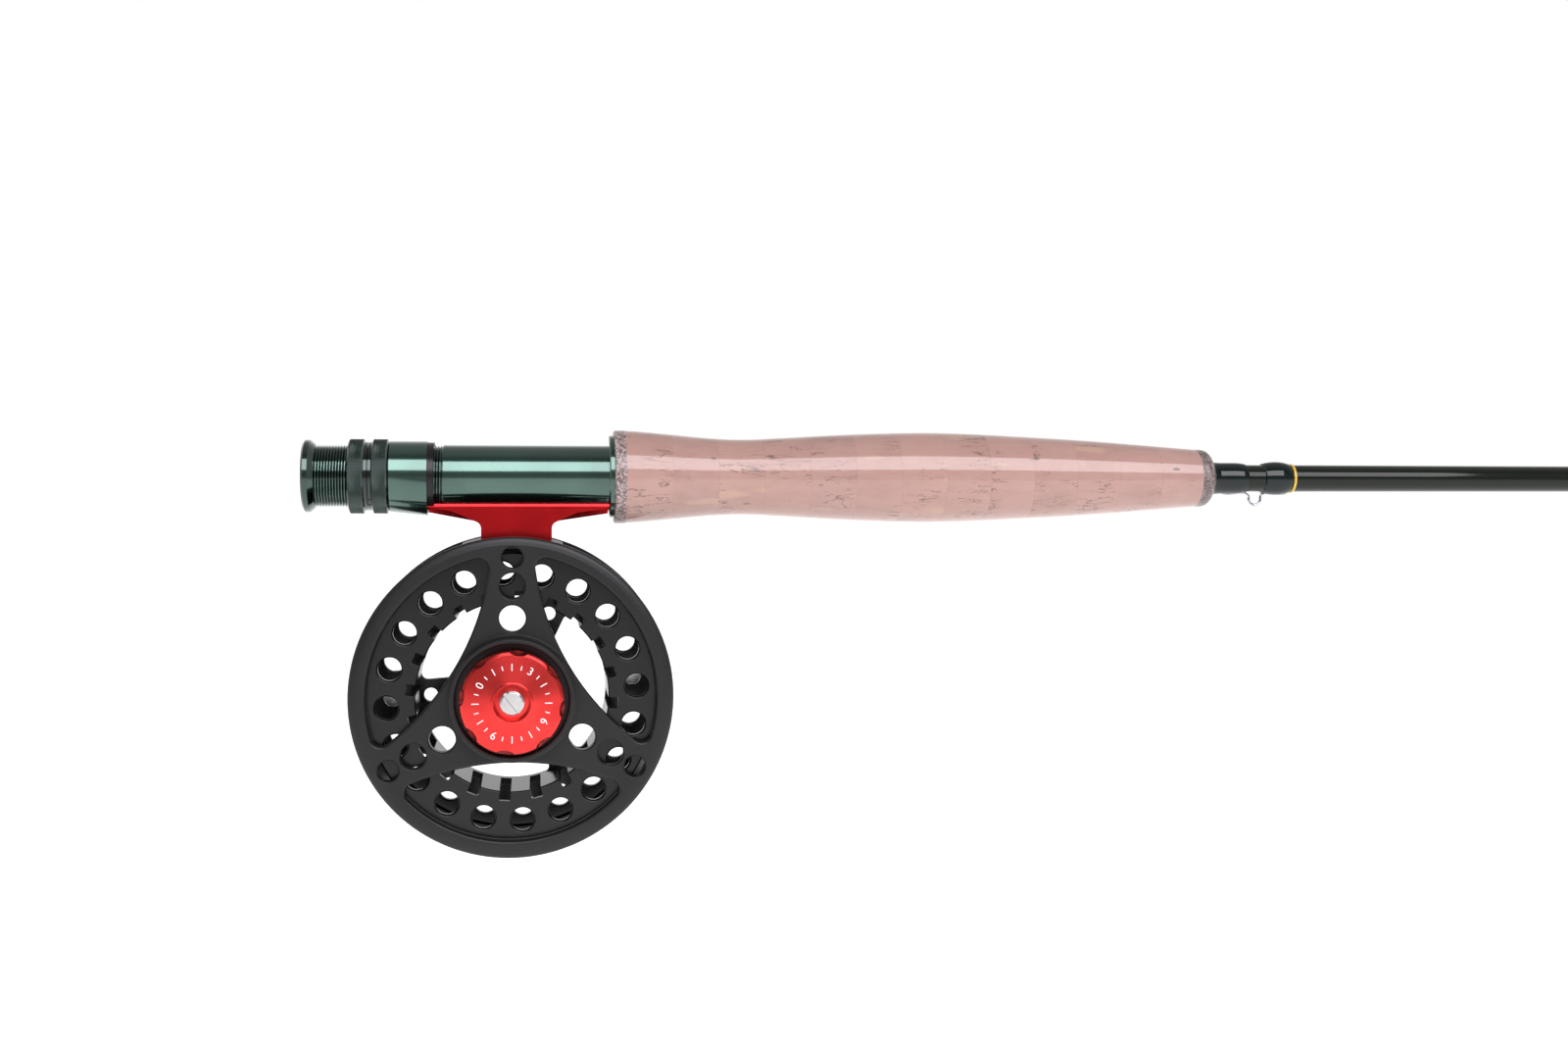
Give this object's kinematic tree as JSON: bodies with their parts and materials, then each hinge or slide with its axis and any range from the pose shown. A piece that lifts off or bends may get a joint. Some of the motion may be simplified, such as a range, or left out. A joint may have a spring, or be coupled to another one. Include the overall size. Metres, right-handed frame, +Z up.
{
  "type": "fly fishing rod and reel",
  "caption": "Single-handed fly rod in push-together sections with a shaped cork grip and a large-arbor disc-drag fly reel locked on its reel seat.",
  "frame": {"origin": "centre of the butt cap's end face, on the rod's axis", "axes": "+X along the rod to the tip, +Z up with the reel hanging below, -Y towards the drag knob and +Y towards the winding handle"},
  "size_m": [2.4398, 0.0533, 0.1141],
  "materials": {
    "green_anodised": "glossy dark green anodising",
    "black_anodised": "satin black anodising",
    "red_anodised": "bright red anodising",
    "silver_steel": "polished steel",
    "black_plastic": "moulded black",
    "seat_core": "inside filler of the reel seat",
    "cork": "lacquered cork",
    "composite_cork": "speckled composite cork",
    "olive_blank": "dark olive gloss",
    "green_winding": "dark green thread under clear resin",
    "gold_winding": "gold thread under clear resin",
    "chrome_wire": "bright wire",
    "ceramic_ring": "polished dark ceramic",
    "drag_fibre": "carbon drag disc"
  },
  "bodies": {
    "rod_butt": {"butt_cap": "green_anodised", "seat_barrel": "green_anodised", "seat_arbor": "seat_core", "fixed_hood": "green_anodised", "rear_trim_ring": "composite_cork", "cork_rings": "cork", "front_trim_ring": "composite_cork", "butt_section": "olive_blank", "hook_keeper": "chrome_wire", "keeper_windings": "green_winding", "gold_band": "gold_winding", "stripping_guide": "chrome_wire", "stripping_ring": "ceramic_ring", "butt_section_windings": "green_winding", "reel_foot": "red_anodised", "foot_screws": "silver_steel", "reel_frame": "black_anodised", "rear_ring": "black_anodised", "ring_screws": "silver_steel", "spindle": "silver_steel", "spindle_clip": "silver_steel", "knob_screw": "silver_steel", "drag_spring": "silver_steel", "spring_plate": "silver_steel", "push_pins": "silver_steel", "pressure_plate": "silver_steel", "drag_washer": "drag_fibre"},
    "hood": {"sliding_hood": "green_anodised", "hood_bush": "black_plastic"},
    "lock_ring": {"front_lock_ring": "green_anodised"},
    "second_lock_ring": {"rear_lock_ring": "green_anodised"},
    "knob": {"drag_knob": "red_anodised"},
    "drag_rotor": {"drag_hub": "silver_steel"},
    "spool_carrier": {"bearing_inner_race": "silver_steel"},
    "spool_body": {"spool": "black_anodised", "spool_screws": "silver_steel", "handle_post": "silver_steel", "counterweight": "silver_steel", "clutch_bearing": "silver_steel", "bearing_outer_race": "silver_steel", "bearing_balls": "silver_steel"},
    "cap": {"spool_cap": "black_anodised"},
    "handle": {"winding_handle": "black_anodised"},
    "rod_second": {"second_section": "olive_blank", "second_section_guides": "chrome_wire", "second_section_windings": "green_winding", "second_ferrule_winding": "green_winding"},
    "rod_third": {"third_section": "olive_blank", "third_section_guides": "chrome_wire", "third_section_windings": "green_winding", "third_ferrule_winding": "green_winding"},
    "rod_tip": {"tip_section": "olive_blank", "tip_section_guides": "chrome_wire", "tip_section_windings": "green_winding", "tip_ferrule_winding": "green_winding", "tip_tube": "chrome_wire", "tip_ring": "chrome_wire"}
  },
  "joints": [
    {"name": "hood_slide", "type": "slide", "parent": "rod_butt", "child": "hood", "axis": [-1, 0, 0], "range_m": [0, 0.0085]},
    {"name": "lock_ring_turn", "type": "hinge", "parent": "hood", "child": "lock_ring", "pos_m": [0.0201, 0, 0], "axis": [-1, 0, 0], "range_deg": [0, 4070]},
    {"name": "rear_lock_ring_turn", "type": "hinge", "parent": "hood", "child": "second_lock_ring", "pos_m": [0.014, 0, 0], "axis": [-1, 0, 0], "range_deg": [0, 4070]},
    {"name": "drag_knob_turn", "type": "hinge", "parent": "rod_butt", "child": "knob", "pos_m": [0.0551, 0, -0.0586], "axis": [0, 1, 0], "range_deg": [0, 300]},
    {"name": "drag_slip", "type": "hinge", "parent": "rod_butt", "child": "drag_rotor", "pos_m": [0.0551, 0, -0.0586], "axis": [0, 1, 0], "continuous": true},
    {"name": "spool_pull_off", "type": "slide", "parent": "rod_butt", "child": "spool_carrier", "axis": [0, 1, 0], "range_m": [0, 0.045]},
    {"name": "spool_spin", "type": "hinge", "parent": "spool_carrier", "child": "spool_body", "pos_m": [0.0551, 0, -0.0586], "axis": [0, 1, 0], "continuous": true},
    {"name": "spool_cap_unscrew", "type": "hinge", "parent": "spool_body", "child": "cap", "pos_m": [0.0551, 0, -0.0586], "axis": [0, 1, 0], "range_deg": [0, 1080]},
    {"name": "handle_spin", "type": "hinge", "parent": "spool_body", "child": "handle", "pos_m": [0.0221, 0.02, -0.0612], "axis": [0, 1, 0], "continuous": true},
    {"name": "first_ferrule_pull", "type": "slide", "parent": "rod_butt", "child": "rod_second", "axis": [1, 0, 0], "range_m": [0, 0.05]},
    {"name": "second_ferrule_pull", "type": "slide", "parent": "rod_second", "child": "rod_third", "axis": [1, 0, 0], "range_m": [0, 0.05]},
    {"name": "tip_ferrule_pull", "type": "slide", "parent": "rod_third", "child": "rod_tip", "axis": [1, 0, 0], "range_m": [0, 0.05]}
  ],
  "couplings": [
    {"joint": "hood_slide", "follows": "lock_ring_turn", "m_per_rad": 0.00011937},
    {"joint": "rear_lock_ring_turn", "follows": "lock_ring_turn", "ratio": 1}
  ]
}
